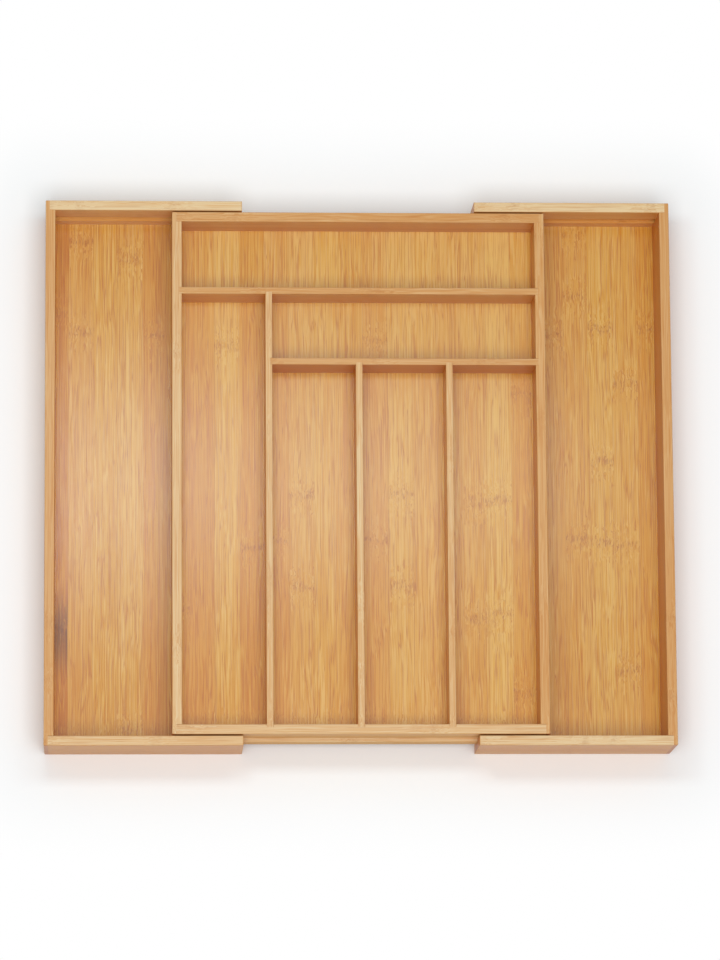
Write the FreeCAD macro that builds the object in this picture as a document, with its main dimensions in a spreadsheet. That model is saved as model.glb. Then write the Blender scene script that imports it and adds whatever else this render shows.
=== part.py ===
import FreeCAD, Part
import os
import Sketcher
from FreeCAD import Placement, Rotation, Vector

# Expandable cutlery tray of bamboo boards: a centre tray with six compartments, carried on rails by
# two wings that slide out sideways. Millimetres: X runs across the tray, Y from front to back, Z up.
# The origin lies under the middle of the tray, on the surface that the wings stand on.
# The wings are modelled pulled right out.

SIZES = {
    # Whole tray
    "tray_depth": 450.0,
    "tray_height": 60.0,
    "centre_width": 306.0,
    "wing_travel": 95.0,
    # Boards
    "wall_thickness": 8.0,
    "divider_thickness": 5.5,
    "floor_thickness": 4.0,
    # Compartments behind the front columns
    "back_row_depth": 55.0,
    "middle_row_depth": 53.5,
    # Room for the wings to move
    "running_gap": 1.2,
    "closing_gap": 0.5,
    "meeting_gap": 1.0,
    "under_gap": 1.0,
    # Corner rabbets: the lip of a side wall that covers the end of the wall it meets
    "corner_lip": 3.4,
    # Floors in grooves
    "wing_floor_lift": 3.5,
    "centre_floor_lift": 12.5,
    "floor_groove_depth": 3.0,
    "floor_edge_play": 0.3,
    # Dividers in dados
    "wall_dado_depth": 2.4,
    "divider_dado_depth": 1.8,
    # Slide rails on the centre tray, and the grooves of the wings that ride on them
    "rail_lift": 12.5,
    "rail_height": 14.0,
    "rail_reach": 3.6,
    "rail_seat_depth": 1.5,
    "rail_side_play": 0.3,
    "rail_face_play": 0.6,
    # Eased edges
    "wall_edge_radius": 0.8,
    "divider_edge_radius": 0.6,
    "rail_edge_radius": 0.8,
}

# Columns of one width, and for each divider between them the columns on its left
COLUMNS = 4
DIVIDED_COLUMNS = range(1, COLUMNS)

DERIVED = {
    # Centre tray
    "centre_depth": "sizes.tray_depth - 2 * (sizes.wall_thickness + sizes.running_gap)",
    "centre_base": "sizes.wing_floor_lift + sizes.floor_thickness + sizes.under_gap",
    "centre_wall_height": "sizes.tray_height - centre_base",
    "centre_floor_top": "centre_base + sizes.centre_floor_lift + sizes.floor_thickness",
    "divider_height": "sizes.tray_height - centre_floor_top",
    "inner_width": "sizes.centre_width - 2 * sizes.wall_thickness",
    "inner_depth": "centre_depth - 2 * sizes.wall_thickness",
    "cross_wall_length": "sizes.centre_width - 2 * sizes.corner_lip",
    # From one column to the next, with a divider between them
    "column_pitch": "(inner_width + sizes.divider_thickness) / %d" % COLUMNS,
    # Front faces of the two cross dividers
    "back_divider_y": "inner_depth / 2 - sizes.back_row_depth - sizes.divider_thickness",
    "middle_divider_y": "back_divider_y - sizes.middle_row_depth - sizes.divider_thickness",
    # Front ends of the dividers that stand in the front wall
    "divider_front_y": "-inner_depth / 2 - sizes.wall_dado_depth",
    # Wings
    "closed_half_width": "sizes.centre_width / 2 + sizes.closing_gap + sizes.wall_thickness",
    "open_half_width": "closed_half_width + sizes.wing_travel",
    "wing_reach": "closed_half_width - sizes.meeting_gap / 2",
    "wing_wall_length": "wing_reach - sizes.corner_lip",
    # Fits
    "floor_tongue": "sizes.floor_groove_depth - sizes.floor_edge_play",
    "rail_thickness": "sizes.rail_seat_depth + sizes.rail_reach",
    "rail_groove_depth": "sizes.rail_reach - sizes.running_gap + sizes.rail_face_play",
    "rail_groove_bottom": "centre_base + sizes.rail_lift - sizes.rail_side_play",
    "rail_groove_top": "centre_base + sizes.rail_lift + sizes.rail_height + sizes.rail_side_play",
}

MATCH_TOLERANCE = 1e-6
HALF_TURN_DEGREES = 180


def add_sheet(name, cells, prefix):
    """Fill a sheet with one named cell per row; the prefix marks a formula."""
    sheet = doc.addObject("Spreadsheet::Sheet", name)
    for row, (alias, content) in enumerate(cells.items(), start=1):
        sheet.set("A%d" % row, alias)
        sheet.set("B%d" % row, prefix + str(content))
        sheet.setAlias("B%d" % row, alias)
    doc.recompute()


def add_outline(sketch, corners):
    """Draw straight lines through the corners and bind each corner's two formulas."""
    first = sketch.GeometryCount
    count = len(corners)
    points = []
    for across, up in corners:
        points.append(Vector(sketch.evalExpression(across), sketch.evalExpression(up), 0))
    for index in range(count):
        sketch.addGeometry(Part.LineSegment(points[index], points[(index + 1) % count]))
    for index in range(count):
        following = first + (index + 1) % count
        sketch.addConstraint(Sketcher.Constraint("Coincident", first + index, 2, following, 1))
    for index, (across, up) in enumerate(corners):
        bind_corner(sketch, first + index, "DistanceX", -2, points[index].x, across)
        bind_corner(sketch, first + index, "DistanceY", -1, points[index].y, up)


def bind_corner(sketch, line, kind, axis, distance, formula):
    """Hold the start of a line on an axis, or at a bound distance from the origin."""
    if formula == "0":
        sketch.addConstraint(Sketcher.Constraint("PointOnObject", line, 1, axis))
        return
    number = sketch.addConstraint(Sketcher.Constraint(kind, -1, 1, line, 1, distance))
    sketch.setExpression("Constraints[%d]" % number, formula)


def add_sketch(body, name, plane_role, outlines, level="0"):
    """Attach a sketch to a plane of its own body, raised by the level, and draw its outlines."""
    planes = [plane for plane in body.Origin.OriginFeatures if plane.Role == plane_role]
    sketch = body.newObject("Sketcher::SketchObject", name)
    sketch.AttachmentSupport = [(planes[0], "")]
    sketch.MapMode = "FlatFace"
    sketch.setExpression("AttachmentOffset.Base.z", level)
    for corners in outlines:
        add_outline(sketch, corners)
    doc.recompute()
    return sketch


def rectangle(low, high):
    """Four corners between two opposite ones."""
    return [low, (high[0], low[1]), high, (low[0], high[1])]


def add_board(label, along, profile, length, place, turned=False):
    """Pad a profile of thickness and height along X or Y, and place the board, turned end for end."""
    body = doc.addObject("PartDesign::Body", label)
    body.Label = label
    role = "YZ_Plane" if along == "X" else "XZ_Plane"
    sketch = add_sketch(body, label + "_profile", role, [profile])
    pad = body.newObject("PartDesign::Pad", label + "_pad")
    pad.Profile = sketch
    pad.Reversed = along == "Y"
    pad.setExpression("Length", length)
    if turned:
        body.Placement = Placement(Vector(), Rotation(Vector(0, 0, 1), HALF_TURN_DEGREES))
    for axis, formula in zip("xyz", place):
        body.setExpression("Placement.Base." + axis, formula)
    doc.recompute()
    return body


def cut_down(body, name, rectangles, level, depth):
    """Pocket upright slots with the given plans, from a level down by a depth."""
    before = body.Tip.Shape.Volume
    sketch = add_sketch(body, body.Label + "_" + name + "_plan", "XY_Plane", rectangles, level)
    pocket = body.newObject("PartDesign::Pocket", body.Label + "_" + name)
    pocket.Profile = sketch
    pocket.setExpression("Length", depth)
    doc.recompute()
    if pocket.Shape.Volume > before - MATCH_TOLERANCE:
        raise RuntimeError(pocket.Name + " cuts nothing")


def ease_edges(body, radius, chosen):
    """Round the edges of the board whose bounding boxes pass the test."""
    base = body.Tip
    names = []
    for number, edge in enumerate(base.Shape.Edges, start=1):
        if chosen(edge.BoundBox):
            names.append("Edge%d" % number)
    fillet = body.newObject("PartDesign::Fillet", body.Label + "_eased")
    fillet.Base = (base, names)
    fillet.setExpression("Radius", radius)
    doc.recompute()


def same(first, second):
    return abs(first - second) < MATCH_TOLERANCE


def flat_at(low, high, place):
    """Whether a span of a bounding box lies wholly at one place."""
    return same(low, place) and same(high, place)


def inner_grooved_profile(height, grooves, seat=None):
    """Board section from outer to inner face, with grooves in the inner face, lowest first.

    Each groove is its bottom level, top level and depth. The seat, for a rail, is in the outer face."""
    thickness = "sizes.wall_thickness"
    corners = [("0", "0"), (thickness, "0")]
    for bottom, top, depth in grooves:
        groove_floor = thickness + " - " + depth
        corners += [(thickness, bottom), (groove_floor, bottom), (groove_floor, top), (thickness, top)]
    corners += [(thickness, height), ("0", height)]
    if seat:
        bottom, top, depth = seat
        corners += [("0", top), (depth, top), (depth, bottom), ("0", bottom)]
    return corners


def floor_groove(lift):
    """The groove that takes a floor whose underside lies at the lift."""
    return (lift, lift + " + sizes.floor_thickness", "sizes.floor_groove_depth")


def make_side_wall(label, length, height, floor_lift, dado_places, place, turned):
    """A wall that runs front to back, with its floor's groove, a rabbet at each end and dados."""
    profile = inner_grooved_profile(height, [floor_groove(floor_lift)])
    body = add_board(label, "Y", profile, length, place, turned)
    top = body.evalExpression(height)
    end = body.evalExpression(length)

    def outer_or_top(box):
        upright_corner = flat_at(box.XMin, box.XMax, 0) and (
            flat_at(box.YMin, box.YMax, 0) or flat_at(box.YMin, box.YMax, end))
        return flat_at(box.ZMin, box.ZMax, top) or upright_corner

    ease_edges(body, "sizes.wall_edge_radius", outer_or_top)
    lip, inner = "sizes.corner_lip", "sizes.wall_thickness"
    rabbets = [
        rectangle((lip, "0"), (inner, "sizes.wall_thickness")),
        rectangle((lip, length + " - sizes.wall_thickness"), (inner, length)),
    ]
    cut_down(body, "rabbets", rabbets, height, height)
    dado_bottom = inner + " - sizes.wall_dado_depth"
    dados = []
    for near in dado_places:
        dados.append(rectangle((dado_bottom, near), (inner, near + " + sizes.divider_thickness")))
    if dados:
        cut_down(body, "dados", dados, height, "derived.divider_height")


def make_wing(side, sign):
    """One wing: a side wall, a front and a back wall grooved for the rails, and a floor."""
    outer = "%d * derived.open_half_width" % sign
    inner_end = "%d * (derived.open_half_width - derived.wing_reach)" % sign
    lip_end = "%d * (derived.open_half_width - sizes.corner_lip)" % sign
    front, back = "-sizes.tray_depth / 2", "sizes.tray_depth / 2"
    on_right = sign > 0
    make_side_wall(side + "_wing_side_wall", "sizes.tray_depth", "sizes.tray_height",
                   "sizes.wing_floor_lift", [], (outer, back if on_right else front, "0"), on_right)

    rail_groove = ("derived.rail_groove_bottom", "derived.rail_groove_top", "derived.rail_groove_depth")
    profile = inner_grooved_profile(
        "sizes.tray_height", [floor_groove("sizes.wing_floor_lift"), rail_groove])
    left_end, right_end = (inner_end, lip_end) if on_right else (lip_end, inner_end)
    for name, near, turned in (("front", front, False), ("back", back, True)):
        place = (right_end if turned else left_end, near, "0")
        wall = add_board("%s_wing_%s_wall" % (side, name), "X", profile,
                         "derived.wing_wall_length", place, turned)
        ease_wing_wall(wall, free_end_first=on_right != turned)

    floor_length = "derived.wing_reach - sizes.wall_thickness + derived.floor_tongue"
    floor_start = inner_end if on_right else inner_end + " - (" + floor_length + ")"
    floor_depth = "sizes.tray_depth - 2 * (sizes.wall_thickness - derived.floor_tongue)"
    section = rectangle(("0", "0"), (floor_depth, "sizes.floor_thickness"))
    add_board(side + "_wing_floor", "X", section, floor_length,
              (floor_start, "-(" + floor_depth + ") / 2", "sizes.wing_floor_lift"))


def ease_wing_wall(wall, free_end_first):
    """Ease the long top edges, and the top edge of the end that faces the middle of the tray."""
    top = wall.evalExpression("sizes.tray_height")
    length = wall.evalExpression("derived.wing_wall_length")
    joined_end = length if free_end_first else 0

    def top_but_joined(box):
        return flat_at(box.ZMin, box.ZMax, top) and not flat_at(box.XMin, box.XMax, joined_end)

    ease_edges(wall, "sizes.wall_edge_radius", top_but_joined)


def make_centre_walls():
    """The four walls of the centre tray; the front and back ones seat the slide rails."""
    half_width, half_depth = "sizes.centre_width / 2", "derived.centre_depth / 2"
    height, base, lift = "derived.centre_wall_height", "derived.centre_base", "sizes.centre_floor_lift"
    from_front = half_depth + " + "
    from_back = half_depth + " - sizes.divider_thickness - "
    make_side_wall("centre_left_wall", "derived.centre_depth", height, lift,
                   [from_front + "derived.back_divider_y"],
                   ("-" + half_width, "-" + half_depth, base), False)
    make_side_wall("centre_right_wall", "derived.centre_depth", height, lift,
                   [from_back + "derived.back_divider_y", from_back + "derived.middle_divider_y"],
                   (half_width, half_depth, base), True)

    rail_seat = ("sizes.rail_lift", "sizes.rail_lift + sizes.rail_height", "sizes.rail_seat_depth")
    profile = inner_grooved_profile(height, [floor_groove(lift)], rail_seat)
    half_length = "derived.cross_wall_length / 2"
    front_wall = add_board("centre_front_wall", "X", profile, "derived.cross_wall_length",
                           ("-" + half_length, "-" + half_depth, base))
    back_wall = add_board("centre_back_wall", "X", profile, "derived.cross_wall_length",
                          (half_length, half_depth, base), turned=True)
    top = front_wall.evalExpression(height)

    def long_top(box):
        return flat_at(box.ZMin, box.ZMax, top) and box.XLength > MATCH_TOLERANCE

    for wall in (front_wall, back_wall):
        ease_edges(wall, "sizes.wall_edge_radius", long_top)
    dados = []
    inner = "sizes.wall_thickness"
    for columns in DIVIDED_COLUMNS:
        near = "%s - sizes.divider_thickness + derived.cross_wall_length / 2 - derived.inner_width / 2" % (
            "%d * derived.column_pitch" % columns)
        far = near + " + sizes.divider_thickness"
        dados.append(rectangle((near, inner + " - sizes.wall_dado_depth"), (far, inner)))
    cut_down(front_wall, "dados", dados, height, "derived.divider_height")


def make_centre_floor():
    """One panel in the grooves of the four walls."""
    width = "derived.inner_width + 2 * derived.floor_tongue"
    depth = "derived.inner_depth + 2 * derived.floor_tongue"
    section = rectangle(("0", "0"), (depth, "sizes.floor_thickness"))
    add_board("centre_floor", "X", section, width,
              ("-(" + width + ") / 2", "-(" + depth + ") / 2",
               "derived.centre_base + sizes.centre_floor_lift"))


def make_divider(label, along, length, place, dado_plans):
    """A thin board on the centre floor, with its two long top edges eased and dados cut in one face."""
    section = rectangle(("0", "0"), ("sizes.divider_thickness", "derived.divider_height"))
    body = add_board(label, along, section, length, place + ("derived.centre_floor_top",))
    top = body.evalExpression("derived.divider_height")

    def long_top(box):
        run = box.XLength if along == "X" else box.YLength
        return flat_at(box.ZMin, box.ZMax, top) and same(run, body.evalExpression(length))

    ease_edges(body, "sizes.divider_edge_radius", long_top)
    if dado_plans:
        cut_down(body, "dados", dado_plans, "derived.divider_height", "derived.divider_height")


def make_dividers():
    """Two cross dividers, the long one that they meet, and two short ones in front."""
    thick, dado = "sizes.divider_thickness", "sizes.divider_dado_depth"
    wall_dado, pitch = "sizes.wall_dado_depth", "derived.column_pitch"
    inner_left = "-derived.inner_width / 2"
    long_left = "%s + %s - %s" % (inner_left, pitch, thick)

    notch_end = "%s + %s" % (wall_dado, pitch)
    back_plan = rectangle((notch_end + " - " + thick, "0"), (notch_end, dado))
    make_divider("back_divider", "X", "derived.inner_width + 2 * " + wall_dado,
                 ("%s - %s" % (inner_left, wall_dado), "derived.back_divider_y"), [back_plan])

    notch = "derived.middle_divider_y - derived.divider_front_y"
    long_plan = rectangle((thick + " - " + dado, notch), (thick, notch + " + " + thick))
    make_divider("long_divider", "Y", "derived.back_divider_y - derived.divider_front_y + " + dado,
                 (long_left, "derived.divider_front_y"), [long_plan])

    middle_left = "%s + %s - %s" % (inner_left, pitch, dado)
    front_plans = []
    for columns in DIVIDED_COLUMNS[:-1]:
        notch_end = "%s + %d * %s" % (dado, columns, pitch)
        front_plans.append(rectangle((notch_end + " - " + thick, "0"), (notch_end, dado)))
    make_divider("middle_divider", "X", "derived.inner_width - %s + %s + %s" % (pitch, dado, wall_dado),
                 (middle_left, "derived.middle_divider_y"), front_plans)

    for side, columns in zip(("left", "right"), DIVIDED_COLUMNS[1:]):
        make_divider("front_divider_" + side, "Y",
                     "derived.middle_divider_y - derived.divider_front_y + " + dado,
                     ("%s + %d * %s - %s" % (inner_left, columns, pitch, thick), "derived.divider_front_y"), [])


def make_rails():
    """Strips glued into the seats of the centre's front and back walls, which run in the wings."""
    section = rectangle(("0", "0"), ("derived.rail_thickness", "sizes.rail_height"))
    half_length = "derived.cross_wall_length / 2"
    face = "derived.centre_depth / 2 + sizes.rail_reach"
    level = "derived.centre_base + sizes.rail_lift"
    front = add_board("front_slide_rail", "X", section, "derived.cross_wall_length",
                      ("-" + half_length, "-(" + face + ")", level))
    back = add_board("back_slide_rail", "X", section, "derived.cross_wall_length",
                     (half_length, face, level), turned=True)

    def long_outer(box):
        return flat_at(box.YMin, box.YMax, 0) and box.XLength > MATCH_TOLERANCE

    for rail in (front, back):
        ease_edges(rail, "sizes.rail_edge_radius", long_outer)


def check_and_write():
    """Stop on any failed object, and write each board as a file of its own."""
    for item in doc.Objects:
        if "Invalid" in item.State or "Error" in item.State:
            raise RuntimeError(item.Label + " failed")
    boards = [item for item in doc.Objects if item.TypeId == "PartDesign::Body"]
    for board in boards:
        if board.Shape.isNull() or not board.Shape.isValid() or len(board.Shape.Solids) != 1:
            raise RuntimeError(board.Label + " is not one valid solid")
    os.makedirs("parts", exist_ok=True)
    for board in boards:
        board.Shape.exportStep("parts/" + board.Label + ".step")
        box = board.Shape.BoundBox
        print("%-24s x %8.2f %8.2f  y %8.2f %8.2f  z %6.2f %6.2f" % (
            board.Label, box.XMin, box.XMax, box.YMin, box.YMax, box.ZMin, box.ZMax))


doc = FreeCAD.newDocument("cutlery_tray")
add_sheet("sizes", SIZES, "")
add_sheet("derived", DERIVED, "=")
make_centre_walls()
make_centre_floor()
make_dividers()
make_rails()
make_wing("left", -1)
make_wing("right", 1)
doc.recompute()
check_and_write()
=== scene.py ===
import math
import random

import bpy
from mathutils import Color, Matrix, Vector


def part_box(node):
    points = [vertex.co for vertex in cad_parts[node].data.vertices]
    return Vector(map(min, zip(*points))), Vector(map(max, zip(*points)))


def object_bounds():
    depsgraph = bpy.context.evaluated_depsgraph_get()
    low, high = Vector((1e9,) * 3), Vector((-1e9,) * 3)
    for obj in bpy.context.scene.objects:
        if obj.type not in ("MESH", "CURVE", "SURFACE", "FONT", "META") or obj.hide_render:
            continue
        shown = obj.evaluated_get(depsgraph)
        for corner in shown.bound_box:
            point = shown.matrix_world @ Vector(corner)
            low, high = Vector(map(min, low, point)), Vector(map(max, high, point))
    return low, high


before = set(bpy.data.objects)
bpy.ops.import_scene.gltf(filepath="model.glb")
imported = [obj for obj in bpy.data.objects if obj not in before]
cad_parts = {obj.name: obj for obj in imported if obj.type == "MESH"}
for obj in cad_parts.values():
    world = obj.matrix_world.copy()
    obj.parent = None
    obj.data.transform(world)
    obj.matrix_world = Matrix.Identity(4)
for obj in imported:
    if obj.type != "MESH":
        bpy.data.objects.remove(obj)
cad_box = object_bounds()

# Sizes of the tray, taken from the frame
tray_low = Vector(cad_box[0])
tray_high = Vector(cad_box[1])
tray_width, tray_depth = (tray_high - tray_low).xy
tray_top = Vector(((tray_low.x + tray_high.x) / 2, (tray_low.y + tray_high.y) / 2, tray_high.z))
wall_low, wall_high = (Vector(corner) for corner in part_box("left_wing_side_wall"))
wall_thickness = wall_high.x - wall_low.x

# Sizes of the bamboo's strips and of the patterns in them
strip_width = tray_depth * 0.0453
strip_blur = strip_width * 0.12
seam_width = strip_width * 0.03
fibre_width = strip_width * 0.03
fibre_length = strip_width * 6
vein_width = strip_width * 0.1
vein_length = strip_width * 7
dash_width = strip_width * 0.036
dash_length = strip_width * 0.9
flame_width = strip_width * 0.055
flame_length = strip_width * 0.36
cloud_width = strip_width * 5
cloud_length = strip_width * 10
wander_width = strip_width * 0.8
wander_length = strip_width * 4
wander_reach = strip_width * 0.11
knuckle_height = strip_width * 0.31
wave_size = strip_width * 0.4
wave_reach = strip_width * 0.35
curl_zone = strip_width * 1.3
curl_width = strip_width * 0.22
curl_length = strip_width * 0.44
curl_reach = strip_width * 0.1
stain_length = strip_width * 2.2
grain_depth = wall_thickness * 0.012

# Width of the worn edges, and how far below a board's top the colour of its faces, with its painted
# shade, starts and is full
wear_width = wall_thickness * 0.16
face_shade_start = wear_width
face_shade_full = wear_width * 2

# How far each pattern moves the tone, as shares of the tone scale, and the middle of that scale
strip_share = 0.75
vein_share = 0.02
cloud_share = 0.15
end_grain_share = -0.3
middle_tone = 0.5

# How much of a colour covers the body colour where its pattern is full
blush_share = 0.3
seam_share = 0.2
hair_share = 0.62
dash_share = 0.42
knuckle_share = 0.06
stain_share = 0.9
wear_share = 0.3

# Noise levels, from -1 to 1, at which a pattern starts and at which it is full
HAIR_LEVELS = (0.09, 0)
DASH_LEVELS = (0.1, 0.6)
FLAME_LEVELS = (0.06, 0.2)
STAIN_LEVELS = (-0.8, 0.2)
WEAR_LEVELS = (-0.5, 0.4)

# How far each pattern moves the roughness, how high dashes stand beside fibres, and the lacquer
fibre_roughness_share = 0.05
cloud_roughness_share = 0.04
wear_roughness_share = 0.15
dash_height_share = 0.5
bump_strength = 0.35
lacquer_ior = 1.5

# Where along a floor the painted sheen that pales its back end starts, and where it is full
painted_sheen_start_share = 0.66
painted_sheen_full_share = 0.88

# The middle of a strip's width, and how much the strips of walls may differ
strip_middle_share = 0.5
wall_tone_spread = 0.12
wall_blush_most = 0.5

# A strip's most knuckles, the board's end for those that it lacks, and a stain place beyond any board
KNUCKLE_COUNT = 3
BOARD_END = 0
UNSTAINED = 9

# Places of the colour sockets of a mix node
FIRST_COLOUR = 6
SECOND_COLOUR = 7
MIXED_COLOUR = 2


def colour(red, green, blue):
    """A colour with levels from 0 to 255, as light, with full opacity."""
    light = Color((red / 255, green / 255, blue / 255)).from_srgb_to_scene_linear()
    return (*light, 1)


# Bamboo colours from deep to pale, with the share of the tone scale at which each stands
EDGE_PALETTE = (
    (0.0, colour(194, 124, 60)),
    (0.4, colour(211, 153, 89)),
    (0.75, colour(224, 181, 127)),
    (1.0, colour(232, 204, 158)),
)
# The faces' palette is deeper than the top edges': partly the bamboo's own colour, partly painted shade
# on upright faces
FACE_AND_SHADE_PALETTE = (
    (0.0, colour(191, 107, 30)),
    (0.3, colour(209, 132, 48)),
    (0.5, colour(220, 152, 67)),
    (1.0, colour(232, 184, 112)),
)
FLOOR_PALETTE = (
    (0.0, colour(187, 109, 16)),
    (0.4, colour(205, 138, 32)),
    (0.75, colour(215, 160, 57)),
    (1.0, colour(224, 180, 94)),
)
BLUSH = colour(206, 146, 96)
SEAM = colour(164, 100, 44)
VEIN = colour(180, 103, 34)
KNUCKLE = colour(166, 92, 34)
STAIN = colour(112, 62, 24)
WORN = colour(232, 205, 160)


class Graph:
    """Adds and links the nodes of a material or a world."""

    def __init__(self, owner):
        owner.use_nodes = True
        self.tree = owner.node_tree
        self.tree.nodes.clear()

    def add(self, kind, **settings):
        """A new node with these settings."""
        node = self.tree.nodes.new(kind)
        for name, value in settings.items():
            setattr(node, name, value)
        return node

    def feed(self, socket, value):
        """Links a socket to another one, or sets it to a value."""
        if isinstance(value, bpy.types.NodeSocket):
            self.tree.links.new(value, socket)
        else:
            socket.default_value = value

    def math(self, operation, *values):
        """The result of one operation on numbers or sockets."""
        node = self.add("ShaderNodeMath", operation=operation)
        for socket, value in zip(node.inputs, values):
            self.feed(socket, value)
        return node.outputs["Value"]

    def combine(self, first, second, third):
        """A vector of three values."""
        node = self.add("ShaderNodeCombineXYZ")
        for socket, value in zip(node.inputs, (first, second, third)):
            self.feed(socket, value)
        return node.outputs["Vector"]

    def split(self, vector):
        """The three values of a vector or colour."""
        node = self.add("ShaderNodeSeparateXYZ")
        self.feed(node.inputs["Vector"], vector)
        return node.outputs

    def fade(self, value, start, end):
        """From 0 at the start to 1 at the end, smoothly."""
        node = self.add("ShaderNodeMapRange", interpolation_type="SMOOTHSTEP")
        self.feed(node.inputs["Value"], value)
        node.inputs["From Min"].default_value = start
        node.inputs["From Max"].default_value = end
        return node.outputs["Result"]

    def noise(self, place, width, length, detail=1):
        """Noise about 0, from -1 to 1, in patches of this width and of this length along the grain."""
        scaled = self.add("ShaderNodeVectorMath", operation="DIVIDE")
        self.feed(scaled.inputs[0], place)
        scaled.inputs[1].default_value = (width, length, width)
        node = self.add("ShaderNodeTexNoise", noise_dimensions="3D")
        self.feed(node.inputs["Vector"], scaled.outputs["Vector"])
        node.inputs["Scale"].default_value = 1
        node.inputs["Detail"].default_value = detail
        return self.math("MULTIPLY_ADD", node.outputs["Fac"], 2, -1)

    def ramp(self, value, stops, interpolation):
        """The colour that a table of positions and colours has at a value."""
        node = self.add("ShaderNodeValToRGB")
        node.color_ramp.interpolation = interpolation
        elements = node.color_ramp.elements
        while len(elements) > 1:
            elements.remove(elements[0])
        elements[0].position = stops[0][0]
        elements[0].color = stops[0][1]
        for position, stop_colour in stops[1:]:
            elements.new(position).color = stop_colour
        self.feed(node.inputs["Fac"], value)
        return node.outputs["Color"]

    def blend(self, share, first, second):
        """The first colour with this share of the second over it."""
        node = self.add("ShaderNodeMix", data_type="RGBA")
        self.feed(node.inputs["Factor"], share)
        self.feed(node.inputs[FIRST_COLOUR], first)
        self.feed(node.inputs[SECOND_COLOUR], second)
        return node.outputs[MIXED_COLOUR]


class Board:
    """A board's box and material, with coordinates across its strips, along its grain and in depth."""

    def __init__(self, node, seed):
        self.material = bpy.data.materials.new(node + "_bamboo")
        self.graph = Graph(self.material)
        self.low, self.high = (Vector(corner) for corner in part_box(node))
        size = self.high - self.low
        depth_axis, across_axis, along_axis = sorted(range(3), key=lambda axis: size[axis])
        self.width = size[across_axis]
        self.length = size[along_axis]
        self.axes = self.graph.split(self.graph.add("ShaderNodeTexCoord").outputs["Object"])
        self.across = self.graph.math("SUBTRACT", self.axes[across_axis], self.low[across_axis])
        self.along = self.graph.math("SUBTRACT", self.axes[along_axis], self.low[along_axis])
        self.depth = self.axes[depth_axis]
        self.normal = self.graph.split(self.graph.add("ShaderNodeNewGeometry").outputs["Normal"])
        self.end_grain = self.graph.math("ABSOLUTE", self.normal[along_axis])
        # Each board has a stretch of the patterns to itself
        self.stretch = self.graph.math("ADD", self.along, seed * tray_depth)
        self.place = self.graph.combine(self.across, self.stretch, self.depth)


def random_strips(seed, count):
    """Strips with seeded tones and knuckles, for boards whose strips barely show."""
    chance = random.Random(seed)
    strips = []
    for _ in range(count):
        tone = middle_tone + chance.uniform(-wall_tone_spread, wall_tone_spread)
        blush = chance.uniform(0, wall_blush_most)
        strips.append((tone, blush, (chance.random(), chance.random())))
    return strips


def strip_stops(strips, first_share, pitch_share):
    """Two tables over the board's width: tone, blush and stain place, and the knuckle places."""
    looks = []
    knuckles = []
    for index, (tone, blush, places, *stain) in enumerate(strips):
        position = 0 if index == 0 else first_share + (index - 1) * pitch_share
        stain_place = stain[0] if stain else UNSTAINED
        looks.append((position, (tone, blush, stain_place, 1)))
        lacking = [BOARD_END] * (KNUCKLE_COUNT - len(places))
        knuckles.append((position, (*places, *lacking, 1)))
    return looks, knuckles


def find_seams(board, first_share):
    """1 where two strips meet."""
    graph = board.graph
    past_first = graph.math("SUBTRACT", board.across, first_share * board.width)
    in_strip = graph.math("FRACT", graph.math("DIVIDE", past_first, strip_width))
    off_middle = graph.math("ABSOLUTE", graph.math("SUBTRACT", in_strip, strip_middle_share))
    return graph.fade(off_middle, strip_middle_share - seam_width / strip_width, strip_middle_share)


def find_knuckles(board, places):
    """The distance to the nearest knuckle of a strip, whose knuckles are wavy lines."""
    graph = board.graph
    wave = graph.noise(board.place, wave_size, wave_size, detail=2)
    waved = graph.math("MULTIPLY_ADD", wave, wave_reach, board.along)
    gaps = []
    for place in places:
        gaps.append(graph.math("ABSOLUTE", graph.math("MULTIPLY_ADD", place, -board.length, waved)))
    nearest = gaps[0]
    for gap in gaps[1:]:
        nearest = graph.math("MINIMUM", nearest, gap)
    return nearest


def lay_strips(board, strips, first_share):
    """The strips' tone, blush, stain and seams, and the distance to the nearest knuckle."""
    graph = board.graph
    looks, knuckles = strip_stops(strips, first_share, strip_width / board.width)
    # Fibres run a little way from each strip into the next
    feather = graph.noise(board.place, fibre_width, fibre_length)
    feathered = graph.math("MULTIPLY_ADD", feather, strip_blur, board.across)
    across_share = graph.math("DIVIDE", feathered, board.width)
    tone, blush, stain_place = graph.split(graph.ramp(across_share, looks, "CONSTANT"))
    past_stain = graph.math("MULTIPLY_ADD", stain_place, -board.length, board.along)
    knuckle_places = graph.split(graph.ramp(across_share, knuckles, "CONSTANT"))
    return {
        "tone": tone,
        "blush": blush,
        "stain": graph.fade(graph.math("ABSOLUTE", past_stain), stain_length, 0),
        "seam": find_seams(board, first_share),
        "from_knuckle": find_knuckles(board, knuckle_places),
    }


def bend_grain(board, from_knuckle):
    """The board's coordinates with fibres that wander, and curl near the knuckles."""
    graph = board.graph
    wander = graph.noise(board.place, wander_width, wander_length)
    curl = graph.noise(board.place, curl_width, curl_length, detail=2)
    curled = graph.math("MULTIPLY", curl, graph.fade(from_knuckle, curl_zone, 0))
    shift = graph.math("MULTIPLY", curled, curl_reach)
    shift = graph.math("MULTIPLY_ADD", wander, wander_reach, shift)
    across = graph.math("ADD", board.across, shift)
    depth = graph.math("ADD", board.depth, shift)
    return graph.combine(across, board.stretch, depth)


def find_grain(board, from_knuckle):
    """The noise that the fibres, veins, dashes, flames of the knuckles and clouds of tone come from."""
    graph = board.graph
    bent = bend_grain(board, from_knuckle)
    return {
        "fibre": graph.noise(bent, fibre_width, fibre_length),
        "vein": graph.noise(bent, vein_width, vein_length, detail=2),
        "dash": graph.noise(bent, dash_width, dash_length),
        "flame": graph.noise(bent, flame_width, flame_length),
        "cloud": graph.noise(board.place, cloud_width, cloud_length),
    }


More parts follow.
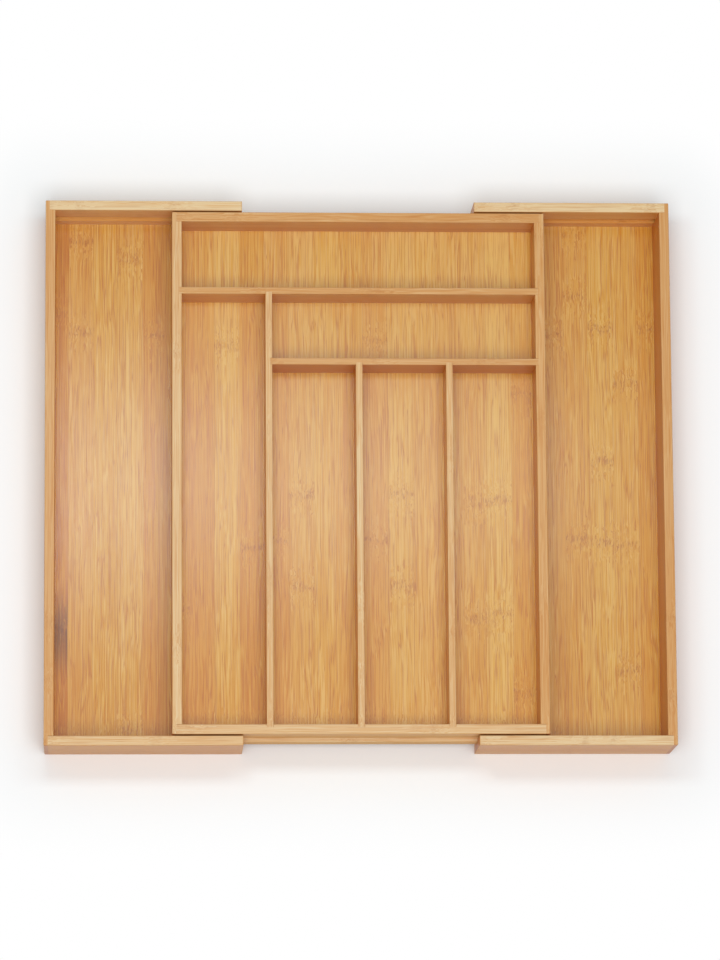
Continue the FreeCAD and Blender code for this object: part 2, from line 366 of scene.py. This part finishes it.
def find_shaded_faces(board):
    """Where faces get their darker colour with painted shade: 1 on upright faces and on all that lies
    below the top edge, 0 on the top itself.
    """
    graph = board.graph
    upright = graph.math("SUBTRACT", 1, graph.math("ABSOLUTE", board.normal[2]))
    below = graph.fade(board.axes[2], board.high.z - face_shade_start, board.high.z - face_shade_full)
    return graph.math("MAXIMUM", upright, below)


def find_wear(board, vein):
    """1 along the edges where two faces of the board meet, broken up by its veins."""
    graph = board.graph
    reach = []
    for axis, low, high in zip(board.axes, board.low, board.high):
        from_low = graph.math("SUBTRACT", axis, low)
        from_high = graph.math("SUBTRACT", high, axis)
        reach.append(graph.math("MINIMUM", from_low, from_high))
    # The middle one of the three reaches is small only where two faces meet
    least = graph.math("MINIMUM", reach[0], reach[1])
    most = graph.math("MAXIMUM", reach[0], reach[1])
    edge = graph.math("MAXIMUM", least, graph.math("MINIMUM", most, reach[2]))
    return graph.math("MULTIPLY", graph.fade(edge, wear_width, 0), graph.fade(vein, *WEAR_LEVELS))


def wood_colour(board, look, patterns):
    """The colours of top and faces, from the tones of the strips and of the grain; the faces' darker
    colour is partly painted shade.
    """
    graph = board.graph
    off_middle = graph.math("SUBTRACT", patterns["tone"], middle_tone)
    level = graph.math("MULTIPLY_ADD", off_middle, strip_share, look["tone"])
    # Painted sheen: the back end of a floor is paler, as if lit by a haze on the lacquer
    painted_sheen_zone = graph.fade(board.along, board.length * painted_sheen_start_share, board.length * painted_sheen_full_share)
    tone_shares = (
        (painted_sheen_zone, look["paling"]),
        (patterns["fibre"], look["fibres"]),
        (patterns["vein"], vein_share),
        (patterns["cloud"], cloud_share),
        (board.end_grain, end_grain_share),
    )
    for pattern, share in tone_shares:
        level = graph.math("MULTIPLY_ADD", pattern, share, level)
    # Painted shade: faces shift to a darker tone than the top edge
    face_and_shade_level = graph.math("ADD", level, look["face_and_shade_tone"] - look["tone"])
    top_colour = graph.ramp(level, look["palette"], "LINEAR")
    face_and_shade_colour = graph.ramp(face_and_shade_level, FACE_AND_SHADE_PALETTE, "LINEAR")
    return graph.blend(find_shaded_faces(board), top_colour, face_and_shade_colour)


def lay_marks(board, look, patterns, body):
    """The body colour with blush, seams, dark lines, knuckles, stain and worn edges laid over it."""
    graph = board.graph
    hairs = graph.fade(graph.math("ABSOLUTE", patterns["vein"]), *HAIR_LEVELS)
    dashes = graph.fade(patterns["dash"], *DASH_LEVELS)
    knuckles = graph.fade(patterns["from_knuckle"], knuckle_height, 0)
    flames = graph.fade(patterns["flame"], *FLAME_LEVELS)
    flame_share = graph.math("MULTIPLY_ADD", flames, look["marks"], knuckle_share)
    stain = graph.math("MULTIPLY", patterns["stain"], graph.fade(patterns["vein"], *STAIN_LEVELS))
    cover_shares = (
        (patterns["blush"], blush_share, BLUSH),
        (patterns["seam"], seam_share, SEAM),
        (hairs, hair_share * look["lines"], VEIN),
        (dashes, dash_share * look["lines"], VEIN),
        (knuckles, flame_share, KNUCKLE),
        (stain, stain_share, STAIN),
        (patterns["wear"], wear_share, WORN),
    )
    for pattern, share, cover in cover_shares:
        body = graph.blend(graph.math("MULTIPLY", pattern, share), body, cover)
    return body


def finish_board(board, look, patterns, body):
    """Lacquer, or bare wood where the gloss is low, over the body colour and the grain's relief."""
    graph = board.graph
    roughness = look["roughness"]
    roughness_shares = (
        (patterns["fibre"], fibre_roughness_share),
        (patterns["cloud"], cloud_roughness_share),
        (patterns["wear"], wear_roughness_share),
    )
    for pattern, share in roughness_shares:
        roughness = graph.math("MULTIPLY_ADD", pattern, share, roughness)
    height = graph.math("MULTIPLY_ADD", patterns["dash"], dash_height_share, patterns["fibre"])
    bump = graph.add("ShaderNodeBump")
    bump.inputs["Strength"].default_value = bump_strength
    bump.inputs["Distance"].default_value = grain_depth
    graph.feed(bump.inputs["Height"], height)
    shader = graph.add("ShaderNodeBsdfPrincipled")
    shader.inputs["IOR"].default_value = lacquer_ior
    shader.inputs["Specular IOR Level"].default_value = look["gloss"]
    graph.feed(shader.inputs["Base Color"], body)
    graph.feed(shader.inputs["Roughness"], roughness)
    graph.feed(shader.inputs["Normal"], bump.outputs["Normal"])
    output = graph.add("ShaderNodeOutputMaterial")
    graph.feed(output.inputs["Surface"], shader.outputs["BSDF"])


def bamboo(board, look, strips, first_share):
    """The bamboo of one board, with its strips, grain, knuckles and worn edges."""
    patterns = lay_strips(board, strips, first_share)
    patterns.update(find_grain(board, patterns["from_knuckle"]))
    patterns["wear"] = find_wear(board, patterns["vein"])
    body = wood_colour(board, look, patterns)
    body = lay_marks(board, look, patterns, body)
    finish_board(board, look, patterns, body)


# Strips of each floor from the left: tone, blush, knuckle places from the front, and any stain place
LEFT_FLOOR_STRIP_SHARES = [
    # Darker partly from its own colour, partly as painted shade beside the left side wall
    (-0.4, 0.1, (0.819, 0.225), 0.21),
    (0.52, 0.35, (0.96, 0.785)),
    (0.56, 0.0, ()),
    (0.66, 0.15, (0.926, 0.033)),
    (0.26, 0.2, (0.779,)),
    (0.4, 0.2, (0.674,)),
    (0.5, 0.1, (0.3,)),
    (0.5, 0.1, (0.6,)),
]
RIGHT_FLOOR_STRIP_SHARES = [
    (0.5, 0.2, (0.5,)),
    (0.45, 0.2, (0.2,)),
    (0.5, 0.2, (0.7,)),
    (0.45, 0.45, (0.784,)),
    (0.48, 0.35, (0.979, 0.858, 0.392)),
    (0.6, 0.05, (0.797, 0.541, 0.385)),
    (0.5, 0.15, (0.692, 0.383, 0.144)),
    # Darker partly from its own colour, partly as painted shade beside the right side wall
    (0.24, 0.05, (0.797,)),
]
CENTRE_FLOOR_STRIP_SHARES = [
    (0.14, 0.2, (0.243,)),
    (0.14, 0.2, ()),
    (0.56, 0.05, (0.763,)),
    (0.16, 0.1, (0.364,)),
    (0.32, 0.5, (0.378,)),
    (0.56, 0.4, (0.285, 0.467)),
    (0.58, 0.15, ()),
    (0.4, 0.3, ()),
    (0.42, 0.6, (0.378, 0.773)),
    (0.66, 0.25, (0.285, 0.467)),
    (0.55, 0.3, ()),
    (0.45, 0.45, ()),
    (0.5, 0.35, (0.451, 0.223)),
    (0.76, 0.0, (0.459, 0.231)),
    (0.36, 0.1, (0.669, 0.075)),
    (0.45, 0.1, ()),
]

# Floors: tone, how far painted sheen pales the back end, strips, and the share of the width where the
# second starts
FLOORS = {
    "left_wing_floor": (0.68, 0.0, LEFT_FLOOR_STRIP_SHARES, 0.0854),
    "right_wing_floor": (0.75, 0.0, RIGHT_FLOOR_STRIP_SHARES, 0.102),
    "centre_floor": (0.72, 0.2, CENTRE_FLOOR_STRIP_SHARES, 0.0325),
}

# Walls, dividers and rails: tone of the top edge and of the faces, whose darker face tones are partly
# painted shade
WALLS = {
    "left_wing_back_wall": (0.95, 0.8),
    "right_wing_back_wall": (0.95, 0.65),
    "left_wing_front_wall": (0.75, 0.38),
    "right_wing_front_wall": (0.9, 0.45),
    "left_wing_side_wall": (0.5, 0.45),
    "right_wing_side_wall": (0.54, 0.3),
    "centre_left_wall": (0.74, 0.5),
    "centre_right_wall": (0.45, 0.35),
    "centre_front_wall": (0.82, 0.7),
    "centre_back_wall": (0.5, 0.45),
    "back_divider": (0.38, 0.45),
    "middle_divider": (0.5, 0.15),
    "long_divider": (0.68, 0.5),
    "front_divider_left": (0.88, 0.55),
    "front_divider_right": (0.76, 0.5),
}
# The rails' pale tones are partly painted light, lifting them where the centre tray's walls shade them
RAILS = {
    "front_slide_rail": (0.92, 0.85),
    "back_slide_rail": (0.92, 0.85),
}

# What all floors share, what all walls share, and the barer finish of the rails
FLOOR_LOOK = {
    "palette": FLOOR_PALETTE,
    "face_and_shade_tone": 0.5,
    "fibres": 0.8,
    "lines": 1.0,
    "marks": 0.52,
    "gloss": 0.5,
    "roughness": 0.24,
}
WALL_LOOK = {
    "palette": EDGE_PALETTE,
    "paling": 0.0,
    "fibres": 0.5,
    "lines": 0.45,
    "marks": 0.15,
    "gloss": 0.2,
    "roughness": 0.32,
}
RAIL_LOOK = {**WALL_LOOK, "gloss": 0.1, "roughness": 0.5}


def paint(node, board):
    """Gives a node of the frame its board's material."""
    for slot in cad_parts[node].material_slots:
        slot.material = board.material


def paint_floor(node, seed):
    """A floor, with the strips of its table."""
    tone, paling, strips, first_share = FLOORS[node]
    board = Board(node, seed)
    bamboo(board, {**FLOOR_LOOK, "tone": tone, "paling": paling}, strips, first_share)
    paint(node, board)


def paint_wall(node, seed, tone, face_and_shade_tone, shared_look):
    """A wall, divider or rail, with strips that its seed chooses."""
    board = Board(node, seed)
    pitch_share = strip_width / board.width
    strips = random_strips(seed, math.ceil(1 / pitch_share) + 1)
    first_share = random.Random(seed).uniform(0, pitch_share)
    bamboo(board, {**shared_look, "tone": tone, "face_and_shade_tone": face_and_shade_tone}, strips, first_share)
    paint(node, board)


for seed, node in enumerate(FLOORS):
    paint_floor(node, seed)
for seed, node in enumerate(WALLS, start=len(FLOORS)):
    paint_wall(node, seed, *WALLS[node], WALL_LOOK)
for seed, node in enumerate(RAILS, start=len(FLOORS) + len(WALLS)):
    paint_wall(node, seed, *RAILS[node], RAIL_LOOK)

# Studio: a pale floor, a soft sky and three softboxes, with floor and sky white where they are seen
PALE = (0.8, 0.8, 0.8, 1)
WHITE = (1, 1, 1, 1)
NEUTRAL_LIGHT = (1, 1, 1)
COOL_LIGHT = (0.78, 0.94, 1)
floor_reach = tray_width * 12
shadow_near = tray_depth * 0.02
shadow_far = tray_depth * 0.2
key_height = tray_depth * 6.5
sheen_height = tray_depth * 2.45
sky_level = 0.4
key_level = 0.44
sheen_level = 0.16
left_sheen_level = 0.06

# Left, right, front and back end of each softbox, in degrees right or back of straight above
KEY_SPAN = (-14, 14, -26, -3)
SHEEN_SPAN = (-19, 15, 6, 14.6)
LEFT_SHEEN_SPAN = (-17, -8, 5, 14.6)


def seen_directly(graph):
    """1 for rays that show a thing to the eye, straight, in a reflection or through glass."""
    path = graph.add("ShaderNodeLightPath").outputs
    seen = graph.math("MAXIMUM", path["Is Camera Ray"], path["Is Glossy Ray"])
    return graph.math("MAXIMUM", seen, path["Is Transmission Ray"])


def distance_from_tray(graph):
    """How far a point of the floor lies outside the tray's outline."""
    place = graph.split(graph.add("ShaderNodeNewGeometry").outputs["Position"])
    gaps = []
    for axis, low, high in zip(place[:2], tray_low, tray_high):
        below = graph.math("SUBTRACT", low, axis)
        above = graph.math("SUBTRACT", axis, high)
        gaps.append(graph.math("MAXIMUM", graph.math("MAXIMUM", below, above), 0))
    squares = graph.math("MULTIPLY_ADD", gaps[0], gaps[0], graph.math("MULTIPLY", gaps[1], gaps[1]))
    return graph.math("SQRT", squares)


def add_studio_floor():
    """A pale floor that takes the tray's shadow, and is plain white to the eye farther out."""
    bpy.ops.mesh.primitive_plane_add(size=floor_reach, location=(tray_top.x, tray_top.y, tray_low.z))
    floor = bpy.context.object
    floor.name = "studio_floor"
    material = bpy.data.materials.new("studio_floor")
    graph = Graph(material)
    seen = seen_directly(graph)
    shader = graph.add("ShaderNodeBsdfDiffuse")
    graph.feed(shader.inputs["Color"], graph.blend(seen, PALE, WHITE))
    backdrop = graph.add("ShaderNodeEmission")
    backdrop.inputs["Color"].default_value = WHITE
    far = graph.fade(distance_from_tray(graph), shadow_near, shadow_far)
    mix = graph.add("ShaderNodeMixShader")
    graph.feed(mix.inputs["Fac"], graph.math("MULTIPLY", seen, far))
    graph.feed(mix.inputs[1], shader.outputs["BSDF"])
    graph.feed(mix.inputs[2], backdrop.outputs["Emission"])
    output = graph.add("ShaderNodeOutputMaterial")
    graph.feed(output.inputs["Surface"], mix.outputs["Shader"])
    material.cycles.emission_sampling = "NONE"
    floor.data.materials.append(material)


def add_sky():
    """A soft even light from all sides, plain white to the eye."""
    world = bpy.data.worlds.new("studio_sky")
    graph = Graph(world)
    background = graph.add("ShaderNodeBackground")
    background.inputs["Color"].default_value = WHITE
    strength = graph.math("MULTIPLY_ADD", seen_directly(graph), 1 - sky_level, sky_level)
    graph.feed(background.inputs["Strength"], strength)
    output = graph.add("ShaderNodeOutputWorld")
    graph.feed(output.inputs["Surface"], background.outputs["Background"])
    bpy.context.scene.world = world


def add_softbox(name, light, height, span, level):
    """A flat light above the tray that spans these angles and alone shows white at this level."""
    west, east, south, north = (height * math.tan(math.radians(angle)) for angle in span)
    lamp = bpy.data.lights.new(name, "AREA")
    lamp.shape = "RECTANGLE"
    lamp.color = light
    lamp.size = east - west
    lamp.size_y = north - south
    offset = Vector(((west + east) / 2, (south + north) / 2, height))
    # Flat light falls off with the height squared and the fourth power of the slant
    slant = offset.normalized().z
    lamp.energy = level * (math.pi * height) ** 2 / slant**4
    holder = bpy.data.objects.new(name, lamp)
    holder.location = tray_top + offset
    bpy.context.collection.objects.link(holder)


add_studio_floor()
add_sky()
add_softbox("key_softbox", NEUTRAL_LIGHT, key_height, KEY_SPAN, key_level)
add_softbox("sheen_softbox", COOL_LIGHT, sheen_height, SHEEN_SPAN, sheen_level)
add_softbox("left_sheen_softbox", COOL_LIGHT, sheen_height, LEFT_SHEEN_SPAN, left_sheen_level)

# Camera: degrees by which it stands in front and left of straight above and is turned, and its frame
front_angle = 10.036
left_angle = 2.886
turn_angle = -0.4
camera_distance = tray_depth * 9
camera_reach = camera_distance * 4
frame_height = tray_depth * 1.7382
aim_front_share = 0.0168
lens_sensor = 36


def add_camera():
    """A camera almost straight above the tray, aimed a little to the front of its middle."""
    camera = bpy.data.cameras.new("camera")
    camera.sensor_width = lens_sensor
    camera.lens = lens_sensor * camera_distance / frame_height
    camera.clip_end = camera_reach
    turn = (
        Matrix.Rotation(math.radians(turn_angle), 4, "Z")
        @ Matrix.Rotation(math.radians(-left_angle), 4, "Y")
        @ Matrix.Rotation(math.radians(front_angle), 4, "X")
    )
    aim = tray_top - Vector((0, tray_depth * aim_front_share, 0))
    eye = bpy.data.objects.new("camera", camera)
    eye.matrix_world = Matrix.Translation(aim) @ turn @ Matrix.Translation((0, 0, camera_distance))
    bpy.context.collection.objects.link(eye)
    bpy.context.scene.camera = eye


add_camera()
bpy.context.scene.view_settings.view_transform = "Standard"
